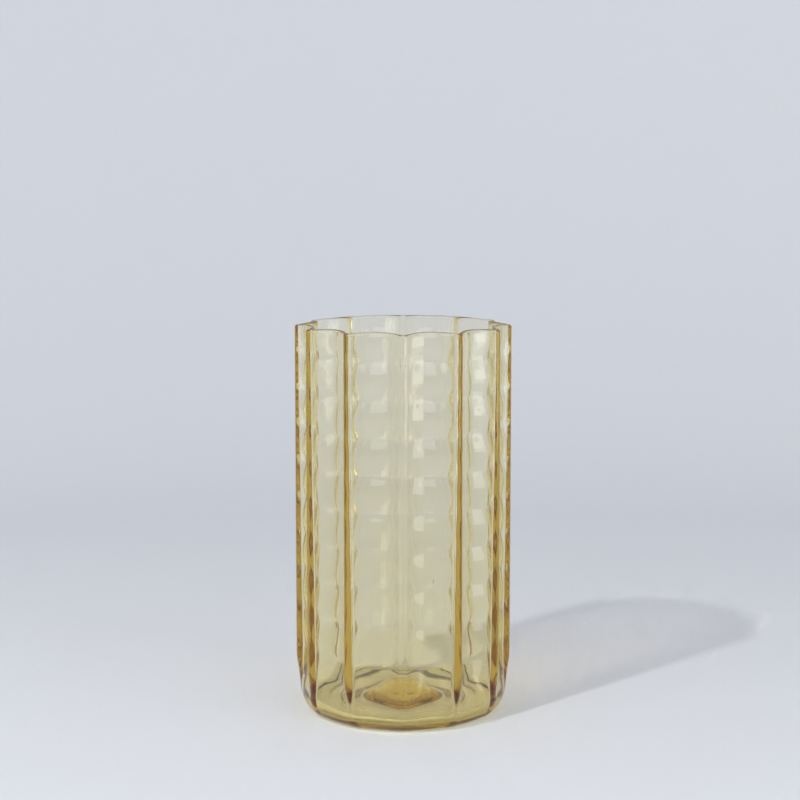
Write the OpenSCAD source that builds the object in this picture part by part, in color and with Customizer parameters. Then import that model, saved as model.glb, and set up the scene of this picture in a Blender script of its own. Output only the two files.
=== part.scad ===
// Mould-blown fluted glass vase with a thick floor and a pushed-up underside.
// Frame: +Z up, origin on the axis at the plane the vase stands on, millimetres.
// A ridge lies on the -Y side, and the flutes lie evenly between the ridges.

/* [Overall] */
// Height from the foot to the rim
height = 216; // [120:1:320]
// Diameter over the ridges
ridge_d = 120; // [100:1:180]

/* [Flutes] */
// Number of ridges, and of flutes between them
flutes = 12; // [8:1:16]
// Depth of a flute below a straight line from ridge to ridge
flute_depth = 6; // [3:0.1:8]
// Width of the narrow land along each ridge
ridge_land = 1.6; // [0.8:0.1:4]

/* [Glass] */
// Thickness of the wall in a flute
wall = 3.2; // [1.5:0.1:5]
// Thickness of the wall behind a ridge
ridge_wall = 5.2; // [3.2:0.1:8]
// Thickness of the floor over the foot ring
floor_h = 9; // [6:0.5:16]

/* [Heel] */
// Radius of the heel on the ridges
heel_r = 13; // [5:0.5:16]
// Radius of the heel in the flutes
flute_heel_r = 4; // [2:0.5:8]
// Radius inside, between the wall and the floor
inner_heel_r = 8; // [3:0.5:14]

/* [Underside] */
// Width of the flat ring that the vase stands on
foot_ring_w = 9; // [6:0.5:10]
// Depth of the pushed-up hollow inside the ring
kick_depth = 3; // [2:0.1:5]
// Radius of the punty button left on the hollow's crown
punty_r = 17; // [8:1:18]
// Width of the bare crown round the button
crown_margin = 5; // [2:0.5:6]
// Thickness of the punty button
punty_h = 1.8; // [0.5:0.1:1.9]
// How far the button's side slopes in towards its own face
punty_taper = 1.2; // [0:0.1:2]

/* [Hidden] */
$fn = 96;

ridge_r = ridge_d / 2;
pitch = 360 / flutes;
// A flute is an arc through the edges of two neighbouring lands.
land_angle = asin(ridge_land / ridge_d);
flute_angle = pitch / 2 - land_angle;
flute_half_chord = ridge_r * sin(flute_angle);
flute_mid_r = ridge_r * cos(flute_angle) - flute_depth;
flute_r = (flute_half_chord * flute_half_chord + flute_depth * flute_depth) / (2 * flute_depth);
flute_axis_r = flute_mid_r + flute_r;
// The heel of a flute turns in about a level axis just inside the wall.
heel_axis_r = flute_mid_r - flute_heel_r;
bore_r = ridge_r - ridge_wall;
// The heels of the ridges and of the flutes both end outside the foot ring.
foot_r = min(ridge_r - heel_r, heel_axis_r);
kick_r = foot_r - foot_ring_w;
crown_r = punty_r + crown_margin;

module each_flute() {
    for (i = [0 : flutes - 1])
        rotate([0, 0, (i + 0.5) * pitch - 90])
            children();
}

// Half-section of a round can: radius r, height h, bottom corner rounded to heel.
module can_section(r, h, heel) {
    square([r - heel, h]);
    translate([0, heel])
        square([r, h - heel]);
    translate([r - heel, heel])
        circle(heel);
}

module can(r, h, heel) {
    rotate_extrude()
        intersection() {
            can_section(r, h, heel);
            square([r, h]);
        }
}

// One flute's cutter: a round bar that turns in under the heel.
module flute_cutter() {
    translate([flute_axis_r, 0, flute_heel_r])
        cylinder(r = flute_r, h = height);
    translate([heel_axis_r, 0, flute_heel_r])
        rotate([90, 0, 0])
            rotate([0, 0, -90])
                rotate_extrude(angle = 90)
                    translate([flute_axis_r - heel_axis_r, 0])
                        circle(flute_r);
}

module outside() {
    difference() {
        can(ridge_r, height, heel_r);
        each_flute()
            flute_cutter();
    }
}

module inside() {
    difference() {
        translate([0, 0, floor_h])
            can(bore_r, height, inner_heel_r);
        each_flute()
            translate([flute_axis_r, 0, 0])
                cylinder(r = flute_r + wall, h = 2 * height);
    }
}

// The hollow that is pushed up into the underside.
module kick() {
    cylinder(r1 = kick_r, r2 = crown_r, h = kick_depth);
}

// Wall, heel and floor: one bubble of glass, open at the top.
module blown_body() {
    color([0.80, 0.70, 0.36, 0.5])
        difference() {
            outside();
            inside();
            kick();
        }
}

// The bit of glass that the punty iron leaves on the crown of the hollow.
module punty_button() {
    color([0.72, 0.52, 0.18, 0.6])
        translate([0, 0, kick_depth - punty_h])
            cylinder(r1 = punty_r - punty_taper, r2 = punty_r, h = punty_h);
}

blown_body();
punty_button();
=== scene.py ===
# %% [markdown]
# # A mould-blown fluted glass vase
#
# The real vase is one piece of straw-coloured glass. A gather was blown into a mould with
# twelve ribs, so the wall is a ring of twelve concave flutes that meet in narrow ridges. The
# inside follows the outside, and the wall thickens from the rim to the foot. Because nothing
# is joined, the whole vase is one closed surface here: underside, heel, wall, lip, inside and
# floor. That matters for glass, since a ray has to meet each face of the real thing once.
#
# The cells build it from the frame outwards: the numbers, the shape, the material, then the
# table, the light and the camera. The vase is worked out in millimetres, and its points are
# turned to metres at the end. The table, the lights and the camera are in metres.

# %% The frame and two helpers
import math

import bpy
import numpy as np
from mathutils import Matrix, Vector


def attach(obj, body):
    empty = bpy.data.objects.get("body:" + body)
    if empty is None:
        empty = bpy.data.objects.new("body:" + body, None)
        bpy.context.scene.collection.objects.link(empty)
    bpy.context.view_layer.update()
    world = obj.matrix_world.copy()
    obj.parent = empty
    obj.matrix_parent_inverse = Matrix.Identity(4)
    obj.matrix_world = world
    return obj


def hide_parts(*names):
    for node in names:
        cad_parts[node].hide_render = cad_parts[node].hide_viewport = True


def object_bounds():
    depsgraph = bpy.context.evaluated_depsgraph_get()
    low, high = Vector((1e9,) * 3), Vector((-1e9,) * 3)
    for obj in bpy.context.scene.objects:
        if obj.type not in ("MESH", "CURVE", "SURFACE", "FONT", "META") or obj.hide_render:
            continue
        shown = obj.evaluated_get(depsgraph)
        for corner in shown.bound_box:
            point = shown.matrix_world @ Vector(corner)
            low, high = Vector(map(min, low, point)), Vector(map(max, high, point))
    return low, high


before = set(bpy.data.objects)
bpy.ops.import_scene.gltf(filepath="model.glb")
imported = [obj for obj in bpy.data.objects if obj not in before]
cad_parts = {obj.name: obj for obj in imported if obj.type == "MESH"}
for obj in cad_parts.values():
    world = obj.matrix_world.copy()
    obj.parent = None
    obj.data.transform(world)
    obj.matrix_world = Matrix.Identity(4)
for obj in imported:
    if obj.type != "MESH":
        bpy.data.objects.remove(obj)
cad_low, cad_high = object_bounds()
MM = 0.001
HEIGHT = cad_high.z / MM
RIDGE_R = cad_high.x / MM
print(f"The design's box: {2 * RIDGE_R:.1f} mm across and {HEIGHT:.1f} mm tall")


def linear(hex_colour):
    """sRGB hex to linear RGBA: each channel is undone by the sRGB curve."""
    channels = [int(hex_colour[i:i + 2], 16) / 255 for i in (1, 3, 5)]
    return [c / 12.92 if c <= 0.04045 else ((c + 0.055) / 1.055) ** 2.4 for c in channels] + [1]


def add_node(tree, kind, links=None, **settings):
    """Adds a node, sets its fields and sockets by name, and links other sockets into it."""
    node = tree.nodes.new(kind)
    for name, value in settings.items():
        if name in node.bl_rna.properties:
            setattr(node, name, value)
        else:
            node.inputs[name.replace("_", " ")].default_value = value
    for name, source in (links or {}).items():
        tree.links.new(source, node.inputs[name])
    return node


# %% [markdown]
# ## The cross-section
#
# Cut level, the outside is a ring of arcs: a small round nose on every ridge, and a wide
# hollow arc for every flute, each arc running into the next without a corner. The inside is
# the same kind of ring, one wall thickness further in, so one function serves both.

# %% The ring of arcs
FLUTES = 12
PITCH = 2 * math.pi / FLUTES
HALF = PITCH / 2
FLUTE_R = 52.2         # from the axis to the middle of a flute
NOSE_R = 3.0           # the rounding of a ridge's nose


def flute_centre(ridge_r, flute_r, nose_r):
    """Where a flute's arc is centred, outside the ring and level with the flute's middle.

    It is the distance at which the arc, through the flute's middle, also touches the nose:
    the law of cosines on the triangle of the axis, the nose's centre and the arc's centre.
    """
    nose_c, shy = ridge_r - nose_r, flute_r - nose_r
    return (nose_c**2 - shy**2) / (2 * (nose_c * math.cos(HALF) - shy))


def ring_radius(turn, centre, arc_r, nose_r):
    """Distance from the axis to the ring, at an angle of turn from a ridge.

    The flutes' arcs have radius arc_r and are centred at that distance from the axis, and a
    nose of radius nose_r touches two of them on every ridge. A ray from the axis meets a
    circle at c cos(a) plus or minus the root of r squared less (c sin(a)) squared.
    """
    from_ridge = np.abs((turn + HALF) % PITCH - HALF)
    from_flute = HALF - from_ridge
    reach = nose_r + arc_r
    nose_c = centre * math.cos(HALF) - np.sqrt(reach**2 - (centre * math.sin(HALF)) ** 2)
    share = nose_r / reach
    meet = np.arctan2(centre * math.sin(HALF) * share,
                      nose_c + (centre * math.cos(HALF) - nose_c) * share)
    nose_root = np.sqrt(np.maximum(nose_r**2 - (nose_c * np.sin(from_ridge)) ** 2, 0))
    arc_root = np.sqrt(np.maximum(arc_r**2 - (centre * np.sin(from_flute)) ** 2, 0))
    nose = nose_c * np.cos(from_ridge) + nose_root
    flute = centre * np.cos(from_flute) - arc_root
    return np.where(from_ridge < meet, nose, flute)


print(f"A flute's arc is centred {flute_centre(RIDGE_R, FLUTE_R, NOSE_R):.1f} mm from the axis")

# %% [markdown]
# ## Ripples and unevenness
#
# Level ripples cross every flute, about 20 mm apart, where the hot glass sagged between the
# ribs of the mould: broad soft swellings with a tight groove between one and the next. They
# are under two millimetres deep, yet they carry most of the vase's sparkle. The slope just
# under each groove tips upwards, so it mirrors a high light as a bright, flat-topped patch.

# %% Ripple and unevenness
RIPPLE_PITCH = 20.5
RIPPLE_DEPTH = 1.6
FIRST_GROOVE = 200.5   # the height of the highest groove
GROOVE_SOFTNESS = 0.12
WAVES = 8              # how many waves make up the unevenness
WAVE_SHARE = 0.25      # how much each of them adds
MOST_ROUND = 6         # the most times that one of them repeats round the vase
FIRST_WAVE = 90.0      # the first is at least this long, up the vase
START_WITHIN = 6.28    # radians: a wave may start anywhere in a turn


def smooth(x):
    """Eases from 0 to 1 with level ends."""
    x = np.clip(x, 0, 1)
    return x * x * (3 - 2 * x)


def ripple(z):
    """From -0.5 in a groove to 0.5 on a swelling: the size of a sine, its foot rounded off."""
    wave = np.sin(math.pi * (FIRST_GROOVE - z) / RIPPLE_PITCH)
    return np.sqrt(wave**2 + GROOVE_SOFTNESS**2) - 0.5 - GROOVE_SOFTNESS / 2


def unevenness(turn, z, draw):
    """A smooth wander between about -1 and 1: a few waves round and up the vase, added.

    Each wave is the sine of a whole number times the turn, plus a climb times the height, plus
    a start of its own. The steepest climb allowed grows by a third of the first with each
    wave. The draw is the number that the random choices start from, so the same draw always
    gives the same wander.
    """
    rng = np.random.default_rng(draw)
    total = 0
    for wave in range(WAVES):
        round_count = rng.integers(1, MOST_ROUND + 1)
        climb = rng.uniform(-1, 1) * 2 * math.pi / FIRST_WAVE * (1 + wave / 3)
        start = rng.uniform(0, START_WITHIN)
        total = total + np.sin(round_count * turn + climb * z + start) * WAVE_SHARE
    return total


grooves = FIRST_GROOVE - RIPPLE_PITCH * np.arange(int(FIRST_GROOVE / RIPPLE_PITCH) + 1)
print("Grooves at heights of", ", ".join(f"{z:.0f}" for z in grooves), "mm")

# %% [markdown]
# ## The wall's two faces
#
# Gravity draws hot glass down, so the wall grows from about 2 mm at the rim to over 4 mm at
# the foot. A ridge is a bend in the sheet. Its outer nose is rounder than its inner one by a
# wall's thickness, which keeps the sheet even through the bend, and an even sheet is nearly
# invisible face on and dark edge on. The ribs of the mould run out above the foot, so both
# faces ease into a plain round shape there.

# %% The wall's two faces
INNER_NOSE_R = 1.0     # the rounding of the same bend inside
RIDGE_GAIN = 1.1       # the wall behind a ridge, as a share of the wall's thickness
FLUTE_SHARE = 0.95     # and behind the middle of a flute
RIDGE_RIPPLE = 0.3     # how far the ripple moves the inside of a ridge
INNER_RIPPLE = 0.6     # how much of the outside's ripple the inside follows
RIM_WALL = 2.2
FOOT_WALL = 4.6
THICKENING = 1.3       # the power of the curve from one to the other
WANDER = 0.12          # how far the unevenness moves a face
OUTSIDE_DRAW, INSIDE_DRAW, RIM_DRAW = 3, 5, 7
LIP_H = 1.2            # the height of the rounded lip
ROUND_R = 57.5         # the plain round shape that the flutes run out into
ROUNDED = 0.85         # and how much of the way there they get
RIBS_END = 11.0        # up to this height the flutes are run out as far as they get
RIBS_FADE = 20.0       # and over this height above it they come in full
RIPPLE_LOWEST = 8.0    # the outside's ripple starts at this height
RIPPLE_FADE = 20.0     # and is at its full depth this far above it


def wall_thickness(z):
    """Thin at the rim and thicker towards the foot, along a gentle power curve."""
    down = np.clip(1 - z / HEIGHT, 0, 1)
    return RIM_WALL + (FOOT_WALL - RIM_WALL) * down**THICKENING


def rounding(z):
    """None on the fluted wall, growing towards the foot, where the mould's ribs run out."""
    return ROUNDED * smooth((RIBS_END + RIBS_FADE - z) / RIBS_FADE)


def outer_radius(turn, z):
    """The outside: a ring of arcs, whose flutes' middles the ripple moves in and out."""
    ripples = RIPPLE_DEPTH * ripple(z) * smooth((z - RIPPLE_LOWEST) / RIPPLE_FADE)
    middle = FLUTE_R + ripples + WANDER * unevenness(turn, z, OUTSIDE_DRAW)
    centre = flute_centre(RIDGE_R, middle, NOSE_R)
    ring = ring_radius(turn, centre, centre - middle, NOSE_R)
    return ring + (ROUND_R - ring) * rounding(z)


def inner_radius(turn, z):
    """The inside: the same ring further in, by more behind a ridge than behind a flute."""
    thick = wall_thickness(z) + WANDER * unevenness(turn, z, INSIDE_DRAW)
    middle = FLUTE_R - FLUTE_SHARE * thick + INNER_RIPPLE * RIPPLE_DEPTH * ripple(z)
    ridge = RIDGE_R - RIDGE_GAIN * thick - RIDGE_RIPPLE * (ripple(z) + 0.5)
    centre = flute_centre(ridge, middle, INNER_NOSE_R)
    ring = ring_radius(turn, centre, centre - middle, INNER_NOSE_R)
    return ring + (ROUND_R - thick - ring) * rounding(z)


for z in (HEIGHT, HEIGHT / 2, HEIGHT / 10):
    print(f"At {z:.0f} mm up, the wall is {wall_thickness(z):.1f} mm thick")

# %% [markdown]
# ## One closed surface
#
# The profile starts at the middle of the underside, crosses the rough punty mark and the
# pushed-up hollow, runs along the foot ring, up the heel and the wall, over the lip, down the
# inside and across the domed floor to the axis again. Each stretch is a function of two
# parameters: the turn round the vase, and how far along the stretch a point lies, from 0 to 1.
# The foot ring is very slightly crowned, as fire-polished glass is. It touches the table on
# one line, so light still reaches the table under it.

# %% The stretches of the profile
COLUMNS_PER_FLUTE = 26
CROWD = 1.7            # how closely the columns crowd towards the ridges
FOOT_R_RIDGE = 50.0    # where the heel starts, under a ridge
FOOT_R_FLUTE = 49.0    # and under a flute
HEEL_H_RIDGE = 12.0    # where the heel ends and the upright wall starts
HEEL_H_FLUTE = 9.0
FLOOR_H = 4.0          # the floor's face at its edge
DOME_H = 9.0           # and how far it rises from there to the middle
DOME_R = 32.0
INNER_HEEL = 8.0       # the height of the inside's rounded corner
INNER_FLOOR_R = 45.0   # and the edge of the floor, where it starts
STANDS_R = 43.0        # the circle on which the foot ring touches the table
FOOT_CROWN = 0.4       # how far the foot ring rises to either side of that circle
CROWN_WIDTH = 4.0      # and over what width
HOLLOW_R = 30.0        # the hollow rises inwards from here
CROWN_R = 22.0         # to here, and is level inside it
HOLLOW_H = 3.0
PUNTY_R = 17.0
PUNTY_DROP = 1.8
PUNTY_EDGE = 2.5       # the width of the slope round the punty mark
RIDGE_DIP = 0.75       # how far the rim sinks at a ridge
RIM_WANDER = 0.08
FIRST_RING = 0.02      # the first row of the underside, as a share of the way out
UNDERSIDE_ROWS, HEEL_ROWS, WALL_ROWS, LIP_ROWS = 34, 20, 116, 11
INSIDE_ROWS, INNER_HEEL_ROWS, FLOOR_ROWS = 78, 14, 22

# Across a flute, the steps run from -1 to 1. They are bent so that they lie closest at its
# ends, on the ridges, where the surface turns fastest.
steps = np.arange(COLUMNS_PER_FLUTE) / COLUMNS_PER_FLUTE * 2 - 1
crowded = np.sign(steps) * (1 - (1 - np.abs(steps)) ** CROWD) * HALF
turn = ((np.arange(FLUTES)[:, None] + 0.5) * PITCH + crowded[None, :]).ravel()
# From 0 in the middle of a flute to 1 on a ridge.
ridge_share = (outer_radius(turn, HEIGHT) - FLUTE_R) / (RIDGE_R - FLUTE_R)
foot_r = FOOT_R_FLUTE + (FOOT_R_RIDGE - FOOT_R_FLUTE) * ridge_share
heel_h = HEEL_H_FLUTE + (HEEL_H_RIDGE - HEEL_H_FLUTE) * ridge_share
rim_h = HEIGHT - LIP_H - RIM_WANDER - RIDGE_DIP * ridge_share
rim_wander = RIM_WANDER * unevenness(3 * turn, HEIGHT, RIM_DRAW)
rim_h = np.minimum(rim_h + rim_wander, HEIGHT - LIP_H)
heel_top = FLOOR_H + INNER_HEEL


def underside(along):
    """The hollow, less the punty mark that hangs in it, and the crowned foot ring round it.

    The foot ring rises either way from the circle it stands on, as the distance squared.
    """
    r = along * FOOT_R_FLUTE + 0 * turn
    hollow = HOLLOW_H * (1 - smooth((r - CROWN_R) / (HOLLOW_R - CROWN_R)))
    punty = PUNTY_DROP * (1 - smooth((r - PUNTY_R + PUNTY_EDGE) / PUNTY_EDGE))
    crowned = FOOT_CROWN * np.clip(np.abs(r - STANDS_R) / CROWN_WIDTH, 0, 1) ** 2
    return r, hollow - punty + crowned


def heel(along):
    """A quarter of an oval, from the foot to the wall that stands over it."""
    a = along * math.pi / 2
    z = FOOT_CROWN + (heel_h - FOOT_CROWN) * (1 - np.cos(a))
    return foot_r + (outer_radius(turn, z) - foot_r) * np.sin(a), z


def wall(along):
    """Straight up the outside, from the heel to the lip."""
    z = heel_h + (rim_h - heel_h) * along
    return outer_radius(turn, z), z


def lip(along):
    """Half a circle over the wall's two faces, softened by the flame."""
    a = along * math.pi
    out, inside_r = outer_radius(turn, rim_h), inner_radius(turn, rim_h)
    return (out + inside_r) / 2 + (out - inside_r) / 2 * np.cos(a), rim_h + LIP_H * np.sin(a)


def inside(along):
    """Straight down the inside, from the lip to the inner heel."""
    z = rim_h + (heel_top - rim_h) * along
    return inner_radius(turn, z), z


def inner_heel(along):
    """A quarter of an oval, from the inside face to the floor."""
    a = along * math.pi / 2
    z = heel_top - INNER_HEEL * np.sin(a) + 0 * turn
    return INNER_FLOOR_R + (inner_radius(turn, z) - INNER_FLOOR_R) * np.cos(a), z


def floor(along):
    """Across the floor to the axis, rising to a low dome over the punty mark."""
    r = INNER_FLOOR_R * (1 - along) + 0 * turn
    return r, FLOOR_H + DOME_H * (1 - smooth(r / DOME_R))


def stretch(count, first=0.0):
    """That many places along a stretch, short of its end, which is the next one's start."""
    return np.linspace(first, 1, count, endpoint=False)[:, None]


parts = [
    underside(stretch(UNDERSIDE_ROWS, FIRST_RING)), heel(stretch(HEEL_ROWS)),
    wall(stretch(WALL_ROWS)), lip(stretch(LIP_ROWS)), inside(stretch(INSIDE_ROWS)),
    inner_heel(stretch(INNER_HEEL_ROWS)), floor(stretch(FLOOR_ROWS)),
]
radius = np.vstack([r for r, _ in parts])
height = np.vstack([z for _, z in parts])
print(f"{radius.shape[0]} rows of {radius.shape[1]} points make the vase's surface")

# %% [markdown]
# ## The mesh, and the seeds in the glass
#
# A grid of points becomes a mesh when each point is joined to the one beside it and to the
# ones in the next row. The last column joins the first, and a fan closes each pole.
#
# Hand-blown glass keeps a few small bubbles, called seeds. Each one is a hollow inside the
# glass, so its little sphere belongs to the same surface with its faces turned the other way:
# outwards from the glass means into the bubble. Most lie in the thick floor, where they
# sparkle, and a few in the wall.

# %% Meshes from grids of points
FLOOR_SEEDS = 34
FLOOR_SEED_R = 20.0             # how far from the axis the floor's seeds lie
FLOOR_SEED_Z = (3.8, 5.8)       # and between which heights
FLOOR_SEED_SIZE = (0.2, 0.5)    # their radius
WALL_SEEDS = 26
WALL_SEED_TURN = (0.25, 0.75)   # as a share of the way over a flute, clear of its ridges
WALL_SEED_Z = (35, 190)
WALL_SEED_SIZE = (0.15, 0.4)
SEEDS_DRAW = 12
SEED_ROWS, SEED_COLUMNS = 7, 10


def surface(points, first_pole=None, last_pole=None, flip=False):
    """Vertices and faces of rows of points that close round, with a pole at either end."""
    rows, columns = points.shape[:2]
    index = np.arange(rows * columns).reshape(rows, columns)
    beside = np.roll(index, -1, axis=1)
    faces = np.stack([index[:-1], beside[:-1], beside[1:], index[1:]], axis=-1)
    faces = faces.reshape(-1, 4).tolist()
    vertices = points.reshape(-1, 3).tolist()
    if first_pole is not None:
        fan = [np.full(columns, len(vertices)), beside[0], index[0]]
        faces += np.stack(fan, axis=-1).tolist()
        vertices.append(list(first_pole))
    if last_pole is not None:
        fan = [np.full(columns, len(vertices)), index[-1], beside[-1]]
        faces += np.stack(fan, axis=-1).tolist()
        vertices.append(list(last_pole))
    return vertices, [face[::-1] for face in faces] if flip else faces


def seed(place, size):
    """A small sphere of latitude and longitude whose faces look inwards."""
    up = np.linspace(-math.pi / 2, math.pi / 2, SEED_ROWS + 2)[1:-1, None]
    around = np.linspace(0, 2 * math.pi, SEED_COLUMNS, endpoint=False)[None, :]
    ball = np.stack([np.cos(up) * np.sin(around), -np.cos(up) * np.cos(around),
                     np.sin(up) + 0 * around], axis=-1)
    poles = (place - [0, 0, size], place + [0, 0, size])
    return surface(place + size * ball, *poles, flip=True)


def at(a, r, z):
    """A point r from the axis and z up, turned by a from the ridge in front, in metres."""
    return np.array([r * math.sin(a), -r * math.cos(a), z]) * MM


def add_object(name, surfaces):
    """Joins surfaces into one smooth mesh object at the origin."""
    vertices, faces = [], []
    for more_vertices, more_faces in surfaces:
        start = len(vertices)
        vertices += more_vertices
        faces += [[start + corner for corner in face] for face in more_faces]
    mesh = bpy.data.meshes.new(name)
    mesh.from_pydata(vertices, [], faces)
    mesh.shade_smooth()
    thing = bpy.data.objects.new(name, mesh)
    bpy.context.collection.objects.link(thing)
    return thing


skin = np.stack([radius * np.sin(turn), -radius * np.cos(turn), height], axis=-1) * MM
lowest = (0, 0, (HOLLOW_H - PUNTY_DROP) * MM)
skin_surface = surface(skin, lowest, (0, 0, (FLOOR_H + DOME_H) * MM))
rng = np.random.default_rng(SEEDS_DRAW)
seeds = []
for _ in range(FLOOR_SEEDS):
    a = rng.uniform(0, 2 * math.pi)
    r = FLOOR_SEED_R * math.sqrt(rng.uniform(0.01, 1))
    z = rng.uniform(*FLOOR_SEED_Z)
    seeds.append(seed(at(a, r, z), rng.uniform(*FLOOR_SEED_SIZE) * MM))
for _ in range(WALL_SEEDS):
    a = (rng.integers(FLUTES) + rng.uniform(*WALL_SEED_TURN)) * PITCH
    z = rng.uniform(*WALL_SEED_Z)
    r = (outer_radius(a, z) + inner_radius(a, z)) / 2
    seeds.append(seed(at(a, r, z), rng.uniform(*WALL_SEED_SIZE) * MM))
vase = add_object("vase_glass", [skin_surface] + seeds)
triangles = sum(len(face.vertices) - 2 for face in vase.data.polygons)
print(f"vase_glass: {triangles} triangles, with {len(seeds)} seeds")

# %% [markdown]
# ## Glass
#
# Straw-coloured soda-lime glass, IOR about 1.52, coloured in the pot by a little iron and
# sulphur and finished in the flame. The colour is in the body of the glass, not on its face:
# the surface is clear, and light loses blue, then green, with every millimetre it travels.
# That one absorption gives the pale wall, the gold ridges and the amber floor.
#
# Flame-polished glass is never quite flat. Faint cords, drawn out upwards and about 7 mm
# apart, bend the light a little. The foot is lightly scuffed where it has stood on shelves,
# and the punty mark is frosted where the iron was cracked off. The real frost and scuffs are
# about 0.2 mm across, and both are drawn in 1.5 mm patches here so that they can show.

# %% Glass
GLASS_IOR = 1.52
STRAW = "#EFDF54"       # what the glass lets through
STRAW_DENSITY = 88.0    # how fast it takes the rest, per metre
CORD_PITCH = 7.0        # as wide apart as real ones
CORD_DRAW = 0.25        # drawn out four times as long as they are wide
CORD_DEPTH = 0.012      # how far they swell out
FROST_GRAIN = 1.5       # coarser than the real 0.2 mm, so that it shows
FROST_EDGE = 3.0        # how far in from the punty mark's edge the frost fades up
FROST_MOST = 0.22       # the roughness of the roughest patches
UNDERSIDE_H = 4.0       # frost lies only on faces below this height
UNDERSIDE_FADE = 0.5
SCUFF_H = 0.35          # scuffs reach this far up the crowned foot ring

glass = bpy.data.materials.new("straw_soda_lime_glass")
glass.use_nodes = True
tree = glass.node_tree
tree.nodes.clear()
place = add_node(tree, "ShaderNodeTexCoord").outputs["Object"]
drawn = add_node(tree, "ShaderNodeMapping", {"Vector": place}, Scale=(1, 1, CORD_DRAW))
cords = add_node(tree, "ShaderNodeTexNoise", {"Vector": drawn.outputs["Vector"]},
                 Scale=1 / (CORD_PITCH * MM), Detail=1.0, Roughness=0.4)
bump = add_node(tree, "ShaderNodeBump", {"Height": cords.outputs[0]},
                Strength=1.0, Distance=CORD_DEPTH * MM)
parts_of_place = add_node(tree, "ShaderNodeSeparateXYZ", {"Vector": place})
level = add_node(tree, "ShaderNodeVectorMath", {0: place}, operation="MULTIPLY")
level.inputs[1].default_value = (1, 1, 0)
from_axis = add_node(tree, "ShaderNodeVectorMath", {0: level.outputs["Vector"]},
                     operation="LENGTH")
on_punty = add_node(tree, "ShaderNodeMapRange", {"Value": from_axis.outputs["Value"]},
                    From_Min=(PUNTY_R - FROST_EDGE) * MM, From_Max=PUNTY_R * MM,
                    To_Min=1.0, To_Max=0.0)
underneath = add_node(tree, "ShaderNodeMapRange", {"Value": parts_of_place.outputs["Z"]},
                      From_Min=(UNDERSIDE_H - UNDERSIDE_FADE) * MM, From_Max=UNDERSIDE_H * MM,
                      To_Min=1.0, To_Max=0.0)
frost = add_node(tree, "ShaderNodeMath", {0: on_punty.outputs["Result"],
                                          1: underneath.outputs["Result"]}, operation="MULTIPLY")
scuff = add_node(tree, "ShaderNodeMapRange", {"Value": parts_of_place.outputs["Z"]},
                 From_Min=0.0, From_Max=SCUFF_H * MM, To_Min=1.0, To_Max=0.0)
worn = add_node(tree, "ShaderNodeMath", {0: frost.outputs["Value"], 1: scuff.outputs["Result"]},
                operation="MAXIMUM")
grain = add_node(tree, "ShaderNodeTexNoise", {"Vector": place},
                 Scale=1 / (FROST_GRAIN * MM), Detail=2.0)
patchy = add_node(tree, "ShaderNodeMapRange", {"Value": grain.outputs[0]},
                  From_Min=0.35, From_Max=0.65, To_Min=0.0, To_Max=FROST_MOST)
roughness = add_node(tree, "ShaderNodeMath", {0: worn.outputs["Value"],
                                              1: patchy.outputs["Result"]}, operation="MULTIPLY")
shader = add_node(tree, "ShaderNodeBsdfPrincipled",
                  {"Roughness": roughness.outputs["Value"], "Normal": bump.outputs["Normal"]},
                  Base_Color=[1, 1, 1, 1], IOR=GLASS_IOR, Transmission_Weight=1.0)
tint = add_node(tree, "ShaderNodeVolumeAbsorption", Color=linear(STRAW), Density=STRAW_DENSITY)
add_node(tree, "ShaderNodeOutputMaterial",
         {"Surface": shader.outputs["BSDF"], "Volume": tint.outputs["Volume"]})
vase.data.materials.append(glass)
print(f"{glass.name}: {len(tree.nodes)} nodes")

# %% [markdown]
# ## Back into the part
#
# The vase is one piece of glass, so this one object stands for both solids of the design: the
# blown body, and the punty button fused to its underside. Nothing moves, so it rides the root.

# %% Back into the part
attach(vase, "root")
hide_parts("blown_body", "punty_button")
print("vase_glass stands for blown_body and punty_button")

# %% [markdown]
# ## The table and the backdrop
#
# One sheet of matt pale paper is the table, and it curves up into the backdrop, so no edge
# shows. Its level part is an oval: its far edge is close behind the vase, where the curve
# gives a soft band of shade, and its near edge lies beyond the camera.
#
# The paper is uncoated pulp, rolled but not glazed, so it scatters light evenly, shows no
# highlight, and its tone wavers by a few percent. Real fibres are about 0.1 mm apart. They
# are drawn 0.8 mm apart here, so that the paper isn't dead flat in tone.

# %% The table and the backdrop
FLAT_BACK, FLAT_FRONT = 0.55, 1.3   # from the vase to the level part's edge
SWEEP_R, WALL_H = 0.6, 2.2          # the curve's radius, and the height that it leads up to
SWEEP_COLUMNS = 96
PAPER_TONE = "#DCDEE2"
PAPER_WAVER = 0.03                  # how far the tone wavers, as a share of it
PAPER_GRAIN = 0.8                   # coarser than the real 0.1 mm, so that it shows
PAPER_ROUGHNESS = 0.9


def sweep_points(turn, along):
    """The paper: level to its edge, up a quarter circle, then upright, as along runs 0 to 3."""
    edge = (FLAT_BACK + FLAT_FRONT) / 2 + (FLAT_FRONT - FLAT_BACK) / 2 * np.cos(turn)
    level, bend = np.clip(along, 0, 1), np.clip(along - 1, 0, 1) * math.pi / 2
    upright = np.clip(along - 2, 0, 1)
    out = edge * level + SWEEP_R * np.sin(bend)
    up = SWEEP_R * (1 - np.cos(bend)) + (WALL_H - SWEEP_R) * upright
    return np.stack([out * np.sin(turn), -out * np.cos(turn), up + 0 * turn], axis=-1)


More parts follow.
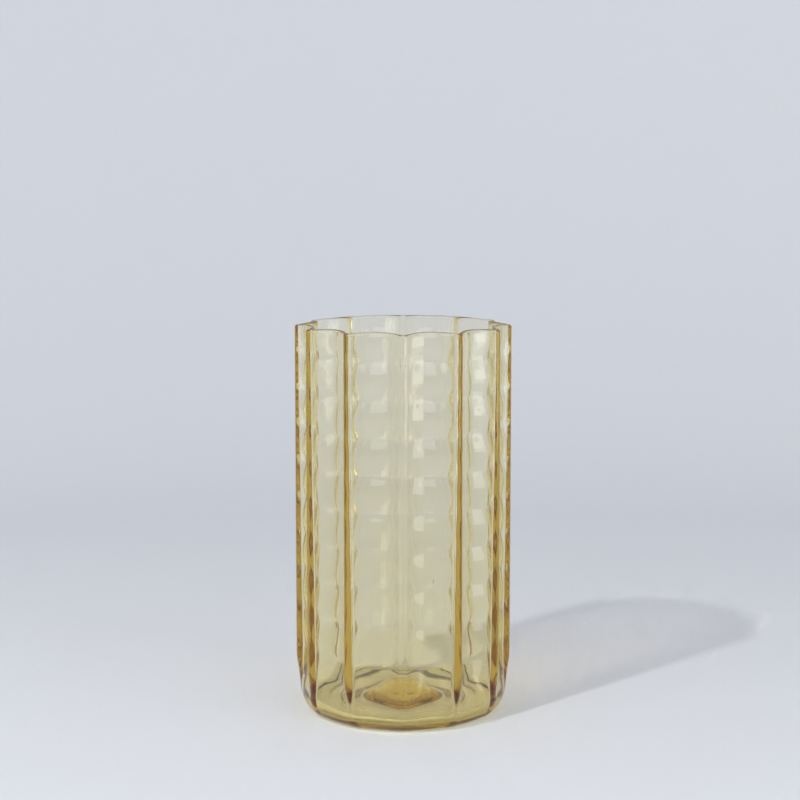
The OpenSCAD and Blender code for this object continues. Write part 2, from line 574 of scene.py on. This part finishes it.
around = np.linspace(0, 2 * math.pi, SWEEP_COLUMNS, endpoint=False)[None, :]
level_rows, bend_rows = np.linspace(0.1, 1, 10), np.linspace(1, 2, 25)[1:]
along = np.concatenate([level_rows, bend_rows, [2.3, 2.6, 3.0]])[:, None]
sweep = add_object("paper_sweep", [surface(sweep_points(around, along), (0, 0, 0), flip=True)])
paper = bpy.data.materials.new("matt_backdrop_paper")
paper.use_nodes = True
tree = paper.node_tree
place = add_node(tree, "ShaderNodeTexCoord").outputs["Object"]
fibres = add_node(tree, "ShaderNodeTexNoise", {"Vector": place},
                  Scale=1 / (PAPER_GRAIN * MM), Detail=3.0)
tone = add_node(tree, "ShaderNodeMapRange", {"Value": fibres.outputs[0]},
                To_Min=1 - PAPER_WAVER, To_Max=1 + PAPER_WAVER)
shade = add_node(tree, "ShaderNodeVectorMath", {1: tone.outputs["Result"]}, operation="MULTIPLY")
shade.inputs[0].default_value = linear(PAPER_TONE)[:3]
paper_shader = tree.nodes["Principled BSDF"]
paper_shader.inputs["Roughness"].default_value = PAPER_ROUGHNESS
tree.links.new(shade.outputs["Vector"], paper_shader.inputs["Base Color"])
sweep.data.materials.append(paper)
print(f"paper_sweep: {len(sweep.data.polygons)} faces")

# %% [markdown]
# ## Light
#
# A small key light on the left, high and towards the camera, draws the shadow back to the
# right. Two upright soft panels stand left and right of the camera, clear of the table: only
# the slopes under the grooves tip far enough to mirror them. A low panel on the right mirrors
# in the plain glass too, as an upright strip. A soft light over the right lifts the backdrop,
# and a pale room all round fills in what the glass mirrors beyond the paper.

# %% Light
RIM_CENTRE = (0, 0, 0.216)
KEY_PLACE = (-1.034, -1.104, 1.53)
KEY_SIZE = 0.09                   # small enough for a shadow with a crisp edge
KEY_POWER = 14.0
LIFT_PLACE = (0.65, 0.35, 1.0)    # the soft light that lifts the backdrop
LIFT_AIM = (0.55, 1.0, 0.2)
LIFT_SIZE = 0.5
LIFT_POWER = 0.5
PANEL_DISTANCE = 1.0
PANEL_TURN = 36                   # degrees to either side of the camera
PANEL_WIDTH = 1.05
PANEL_CLEAR = 0.26                # the upright panels start this far above the table
PANEL_TOP = 1.0
PANEL_STRENGTH = 1.8
LOW_PANEL_TURN = 64               # the low panel stands further round, and reaches the table
LOW_PANEL_WIDTH = 0.70
LOW_PANEL_STRENGTH = 2.2
ROOM_TONE = "#E8EBF2"
ROOM_STRENGTH = 0.42


def area_light(name, place, aim, width, height, power):
    """A rectangular area light at a place, turned to face an aim."""
    data = bpy.data.lights.new(name, "AREA")
    data.shape = "RECTANGLE"
    data.size, data.size_y = width, height
    data.energy = power
    lamp = bpy.data.objects.new(name, data)
    lamp.location = place
    lamp.rotation_euler = (Vector(aim) - Vector(place)).to_track_quat("-Z", "Y").to_euler()
    bpy.context.collection.objects.link(lamp)
    return lamp


def panel(name, azimuth, width, low, high, strength):
    """An upright panel round the vase: azimuth 0 is behind the camera, and more is to its right.

    Its power is its strength, as radiance, times its area and pi.
    """
    a, middle = math.radians(azimuth), (low + high) / 2
    place = (PANEL_DISTANCE * math.sin(a), -PANEL_DISTANCE * math.cos(a), middle)
    power = strength * width * (high - low) * math.pi
    return area_light(name, place, (0, 0, middle), width, high - low, power)


area_light("key", KEY_PLACE, RIM_CENTRE, KEY_SIZE, KEY_SIZE, KEY_POWER)
area_light("backdrop_light", LIFT_PLACE, LIFT_AIM, LIFT_SIZE, LIFT_SIZE, LIFT_POWER)
panel("left_panel", -PANEL_TURN, PANEL_WIDTH, PANEL_CLEAR, PANEL_TOP, PANEL_STRENGTH)
panel("right_panel", PANEL_TURN, PANEL_WIDTH, PANEL_CLEAR, PANEL_TOP, PANEL_STRENGTH)
panel("right_low_panel", LOW_PANEL_TURN, LOW_PANEL_WIDTH, 0.0, PANEL_CLEAR, LOW_PANEL_STRENGTH)
world = bpy.data.worlds.new("studio")
world.use_nodes = True
background = world.node_tree.nodes["Background"]
background.inputs["Color"].default_value = linear(ROOM_TONE)
background.inputs["Strength"].default_value = ROOM_STRENGTH
scene = bpy.context.scene
scene.world = world
scene.view_settings.view_transform = "Standard"
# Light runs along inside the ridges, so many bounces are followed, and none is cut or blurred.
scene.cycles.max_bounces = 48
scene.cycles.glossy_bounces = 40
scene.cycles.transmission_bounces = 40
scene.cycles.transparent_max_bounces = 16
scene.cycles.sample_clamp_indirect = 0.0
scene.cycles.blur_glossy = 0.0

# %% [markdown]
# ## Camera
#
# A long lens, a metre in front and a little above the rim, tipped down. Its shift sets the
# vase low in the view without tipping it further, so upright edges stay nearly upright.

# %% Camera
LENS, SENSOR = 81.7, 36.0
SHIFT_X, SHIFT_Y = -0.0039, -0.07
CAMERA_PLACE = (0, -1.0, 0.3092)
TIPPED_DOWN = 5.99     # degrees below level

camera_data = bpy.data.cameras.new("camera")
camera_data.sensor_width = SENSOR
camera_data.lens = LENS
camera_data.shift_x = SHIFT_X
camera_data.shift_y = SHIFT_Y
camera = bpy.data.objects.new("camera", camera_data)
camera.location = CAMERA_PLACE
camera.rotation_euler = (math.radians(90 - TIPPED_DOWN), 0, 0)
bpy.context.collection.objects.link(camera)
scene.camera = camera
print(f"The camera is {camera.location.length:.2f} m from the vase's foot")
